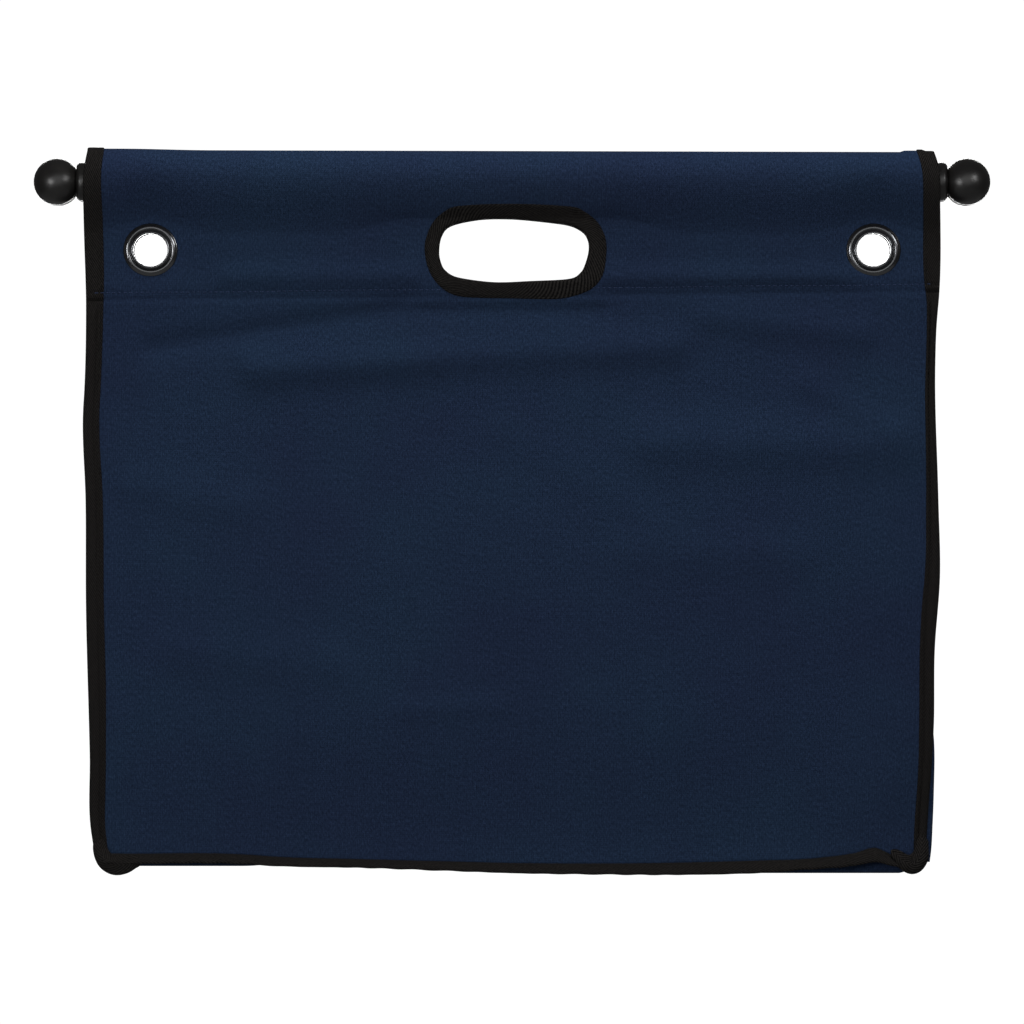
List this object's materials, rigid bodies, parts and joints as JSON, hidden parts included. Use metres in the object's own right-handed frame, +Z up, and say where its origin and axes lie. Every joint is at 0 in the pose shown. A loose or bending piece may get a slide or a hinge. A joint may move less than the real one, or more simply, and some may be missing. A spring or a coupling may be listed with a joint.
{
  "type": "fabric storage bin",
  "caption": "Fabric storage bin carried on two top rods with ball ends, with hand openings, eyelets and bound seams. Its sides and bottom fold in so that it lies flat.",
  "frame": {"origin": "midway between the front and back walls of the folded bin, under its lowest edge", "axes": "+X to the right along the rods, +Y to the back, +Z up"},
  "size_m": [0.638, 0.0642, 0.4836],
  "materials": {
    "navy_canvas": "plain-woven navy cotton canvas, matt",
    "black_twill_tape": "herringbone twill tape, matt black",
    "black_eyelet_metal": "black lacquered brass, semi-gloss",
    "black_moulded_finial": "satin black moulded plastic",
    "black_rod_metal": "satin black powder-coated steel tube"
  },
  "bodies": {
    "front_wall": {"front_bottom_binding": "black_twill_tape", "front_grip_binding": "black_twill_tape", "front_left_eyelet": "black_eyelet_metal", "front_left_eyelet_washer": "black_eyelet_metal", "front_left_side_binding": "black_twill_tape", "front_left_sleeve_binding": "black_twill_tape", "front_panel": "navy_canvas", "front_right_eyelet": "black_eyelet_metal", "front_right_eyelet_washer": "black_eyelet_metal", "front_right_side_binding": "black_twill_tape", "front_right_sleeve_binding": "black_twill_tape", "front_rod_sleeve": "navy_canvas"},
    "back_wall": {"back_bottom_binding": "black_twill_tape", "back_grip_binding": "black_twill_tape", "back_left_eyelet": "black_eyelet_metal", "back_left_eyelet_washer": "black_eyelet_metal", "back_left_side_binding": "black_twill_tape", "back_left_sleeve_binding": "black_twill_tape", "back_panel": "navy_canvas", "back_right_eyelet": "black_eyelet_metal", "back_right_eyelet_washer": "black_eyelet_metal", "back_right_side_binding": "black_twill_tape", "back_right_sleeve_binding": "black_twill_tape", "back_rod_sleeve": "navy_canvas"},
    "front_rod": {"front_rod": "black_rod_metal"},
    "back_rod": {"back_rod": "black_rod_metal"},
    "left_gusset_front": {"left_gusset_front_foot_binding": "black_twill_tape", "left_gusset_front_half": "navy_canvas", "left_gusset_front_rim_binding": "black_twill_tape"},
    "front_left_finial": {"front_left_finial": "black_moulded_finial"},
    "bottom_front_left_corner": {"bottom_front_left_corner": "navy_canvas"},
    "left_gusset_back": {"left_gusset_back_foot_binding": "black_twill_tape", "left_gusset_back_half": "navy_canvas", "left_gusset_back_rim_binding": "black_twill_tape"},
    "back_left_finial": {"back_left_finial": "black_moulded_finial"},
    "bottom_back_left_corner": {"bottom_back_left_corner": "navy_canvas"},
    "right_gusset_front": {"right_gusset_front_foot_binding": "black_twill_tape", "right_gusset_front_half": "navy_canvas", "right_gusset_front_rim_binding": "black_twill_tape"},
    "front_right_finial": {"front_right_finial": "black_moulded_finial"},
    "bottom_front_right_corner": {"bottom_front_right_corner": "navy_canvas"},
    "right_gusset_back": {"right_gusset_back_foot_binding": "black_twill_tape", "right_gusset_back_half": "navy_canvas", "right_gusset_back_rim_binding": "black_twill_tape"},
    "back_right_finial": {"back_right_finial": "black_moulded_finial"},
    "bottom_back_right_corner": {"bottom_back_right_corner": "navy_canvas"},
    "bottom_front": {"bottom_front_half": "navy_canvas"},
    "bottom_back": {"bottom_back_half": "navy_canvas"}
  },
  "joints": [
    {"name": "left_front_seam", "type": "hinge", "parent": "front_wall", "child": "left_gusset_front", "pos_m": [-0.2725, -0.014, 0.19], "axis": [0, 0, 1], "range_deg": [0, 81.95]},
    {"name": "left_crease", "type": "hinge", "parent": "left_gusset_front", "child": "left_gusset_back", "pos_m": [-0.17349, 0, 0.19], "axis": [0, 0, 1], "range_deg": [-163.9, 0]},
    {"name": "left_back_seam", "type": "hinge", "parent": "left_gusset_back", "child": "back_wall", "pos_m": [-0.2725, 0.014, 0.19], "axis": [0, 0, 1], "range_deg": [0, 81.95]},
    {"name": "right_front_seam", "type": "hinge", "parent": "front_wall", "child": "right_gusset_front", "pos_m": [0.2725, -0.014, 0.19], "axis": [0, 0, 1], "range_deg": [-81.95, 0]},
    {"name": "right_crease", "type": "hinge", "parent": "right_gusset_front", "child": "right_gusset_back", "pos_m": [0.17349, 0, 0.19], "axis": [0, 0, 1], "range_deg": [0, 163.9]},
    {"name": "bottom_front_seam", "type": "hinge", "parent": "front_wall", "child": "bottom_front", "pos_m": [0, -0.014, 0.013], "axis": [-1, 0, 0], "range_deg": [0, 81.95]},
    {"name": "bottom_crease", "type": "hinge", "parent": "bottom_front", "child": "bottom_back", "pos_m": [0, 0, 0.11202], "axis": [-1, 0, 0], "range_deg": [-163.9, 0]},
    {"name": "bottom_front_left_corner_slide", "type": "slide", "parent": "bottom_front", "child": "bottom_front_left_corner", "axis": [-1, 0, 0], "range_m": [0, 0.14303]},
    {"name": "bottom_front_right_corner_slide", "type": "slide", "parent": "bottom_front", "child": "bottom_front_right_corner", "axis": [1, 0, 0], "range_m": [0, 0.14303]},
    {"name": "front_rod_slide", "type": "slide", "parent": "front_wall", "child": "front_rod", "axis": [1, 0, 0], "range_m": [-0.0095, 0.0095]},
    {"name": "front_left_finial_turn", "type": "hinge", "parent": "front_rod", "child": "front_left_finial", "pos_m": [-0.3035, -0.0165, 0.4625], "axis": [1, 0, 0], "continuous": true},
    {"name": "front_right_finial_turn", "type": "hinge", "parent": "front_rod", "child": "front_right_finial", "pos_m": [0.3035, -0.0165, 0.4625], "axis": [1, 0, 0], "continuous": true},
    {"name": "bottom_back_left_corner_slide", "type": "slide", "parent": "bottom_back", "child": "bottom_back_left_corner", "axis": [-1, 0, 0], "range_m": [0, 0.14303]},
    {"name": "bottom_back_right_corner_slide", "type": "slide", "parent": "bottom_back", "child": "bottom_back_right_corner", "axis": [1, 0, 0], "range_m": [0, 0.14303]},
    {"name": "back_rod_slide", "type": "slide", "parent": "back_wall", "child": "back_rod", "axis": [1, 0, 0], "range_m": [-0.0095, 0.0095]},
    {"name": "back_left_finial_turn", "type": "hinge", "parent": "back_rod", "child": "back_left_finial", "pos_m": [-0.3035, 0.0165, 0.4625], "axis": [1, 0, 0], "continuous": true},
    {"name": "back_right_finial_turn", "type": "hinge", "parent": "back_rod", "child": "back_right_finial", "pos_m": [0.3035, 0.0165, 0.4625], "axis": [1, 0, 0], "continuous": true}
  ],
  "couplings": [
    {"joint": "left_crease", "follows": "left_front_seam", "ratio": -2},
    {"joint": "left_back_seam", "follows": "left_front_seam", "ratio": 1},
    {"joint": "right_front_seam", "follows": "left_front_seam", "ratio": -1},
    {"joint": "right_crease", "follows": "left_front_seam", "ratio": 2},
    {"joint": "bottom_front_seam", "follows": "left_front_seam", "ratio": 1},
    {"joint": "bottom_crease", "follows": "left_front_seam", "ratio": -2},
    {"joint": "bottom_front_left_corner_slide", "follows": "left_front_seam", "m_per_rad": 0.1},
    {"joint": "bottom_front_right_corner_slide", "follows": "left_front_seam", "m_per_rad": 0.1},
    {"joint": "bottom_back_left_corner_slide", "follows": "left_front_seam", "m_per_rad": 0.1},
    {"joint": "bottom_back_right_corner_slide", "follows": "left_front_seam", "m_per_rad": 0.1}
  ]
}
